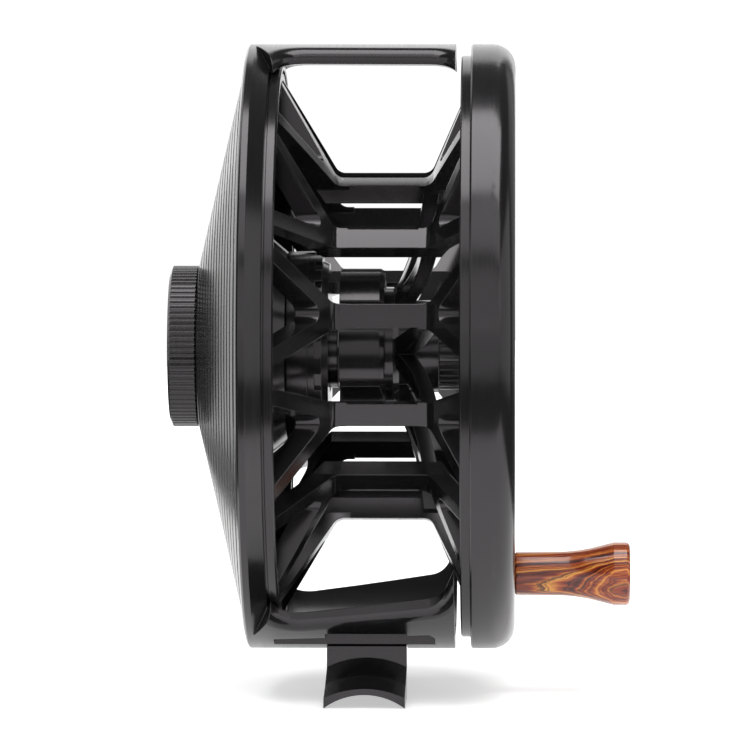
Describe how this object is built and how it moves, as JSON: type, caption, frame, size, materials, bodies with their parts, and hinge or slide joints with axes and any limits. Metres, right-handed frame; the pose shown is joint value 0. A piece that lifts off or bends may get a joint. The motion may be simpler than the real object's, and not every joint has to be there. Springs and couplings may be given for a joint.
{
  "type": "fly reel",
  "caption": "Large arbor fly fishing reel with half frame, truss spool, palming rim, grooved back cover, fluted drag knob and flared wood handle.",
  "frame": {"origin": "middle of the reel foot's saddle, where it lies on the rod", "axes": "+Z from the rod up to the reel, +X along the spool axis towards the handle, Y along the rod"},
  "size_m": [0.0799, 0.105, 0.1127],
  "materials": {
    "frame_black": "black anodised, fine turned",
    "cover_black": "black anodised, grooved",
    "knob_black": "black anodised, fluted",
    "housing_black": "black anodised",
    "spool_black": "black anodised, satin",
    "aluminium": "machined",
    "steel": "stainless",
    "bronze": "sintered bronze",
    "carbon": "carbon friction lining",
    "rubber": "nitrile",
    "grip_wood": "oiled and polished tropical hardwood"
  },
  "bodies": {
    "frame": {"frame": "frame_black", "reel_foot": "frame_black", "foot_screws": "steel", "back_cover": "cover_black", "cover_screws": "steel", "knob_seal": "rubber", "knob_snap_ring": "steel", "detent_ball": "steel", "detent_spring": "steel", "drag_housing": "frame_black", "housing_screws": "steel", "housing_cap": "housing_black", "shaft_seal": "rubber", "click_plate": "steel", "stator_discs": "steel", "spindle": "steel", "spindle_nut": "steel", "pawl_pin": "steel", "pawl_spring": "steel"},
    "bearing_sleeve": {"bearing_sleeve": "steel"},
    "spool": {"spool": "spool_black", "rear_bearing": "steel", "front_bearing": "steel", "bearing_snap_ring": "steel", "counterweight": "steel", "handle_post": "steel", "handle_washer": "steel", "handle_screw": "steel"},
    "release_knob": {"release_knob": "knob_black"},
    "handle": {"handle_grip": "grip_wood", "handle_bushings": "bronze"},
    "drag_rotor": {"drive_hub": "housing_black", "drive_bushings": "bronze", "clutch_rollers": "steel", "clutch_cup": "steel", "drag_drum": "aluminium", "friction_discs": "carbon", "click_gear": "steel"},
    "drag_knob": {"drag_knob": "knob_black"},
    "drag_pressure": {"thrust_ring": "steel", "spring_washers": "steel", "thrust_pins": "steel", "pressure_plate": "steel"},
    "click_pawl": {"click_pawl": "steel"}
  },
  "joints": [
    {"name": "spool_pull_off", "type": "slide", "parent": "frame", "child": "bearing_sleeve", "axis": [1, 0, 0], "range_m": [0, 0.04]},
    {"name": "spool_spin", "type": "hinge", "parent": "bearing_sleeve", "child": "spool", "pos_m": [0, 0, 0.0579], "axis": [1, 0, 0], "continuous": true},
    {"name": "handle_spin", "type": "hinge", "parent": "spool", "child": "handle", "pos_m": [0.0355, 0, 0.0183], "axis": [1, 0, 0], "continuous": true},
    {"name": "release_knob_turn", "type": "hinge", "parent": "spool", "child": "release_knob", "pos_m": [0.014, 0, 0.0579], "axis": [1, 0, 0], "range_deg": [0, 720]},
    {"name": "drag_rotor_spin", "type": "hinge", "parent": "frame", "child": "drag_rotor", "pos_m": [-0.01, 0, 0.0579], "axis": [1, 0, 0], "continuous": true},
    {"name": "drag_knob_turn", "type": "hinge", "parent": "frame", "child": "drag_knob", "pos_m": [-0.03, 0, 0.0579], "axis": [1, 0, 0], "range_deg": [0, 330]},
    {"name": "pressure_plate_travel", "type": "slide", "parent": "frame", "child": "drag_pressure", "axis": [1, 0, 0], "range_m": [0, 0.0005]},
    {"name": "click_pawl_swing", "type": "hinge", "parent": "frame", "child": "click_pawl", "pos_m": [-0.0091, -0.0062, 0.06864], "axis": [1, 0, 0], "range_deg": [-10, 10], "stiffness_Nm_per_rad": 0.002}
  ],
  "couplings": [
    {"joint": "drag_rotor_spin", "follows": "spool_spin", "ratio": 1},
    {"joint": "pressure_plate_travel", "follows": "drag_knob_turn", "m_per_rad": 0.0000867}
  ]
}
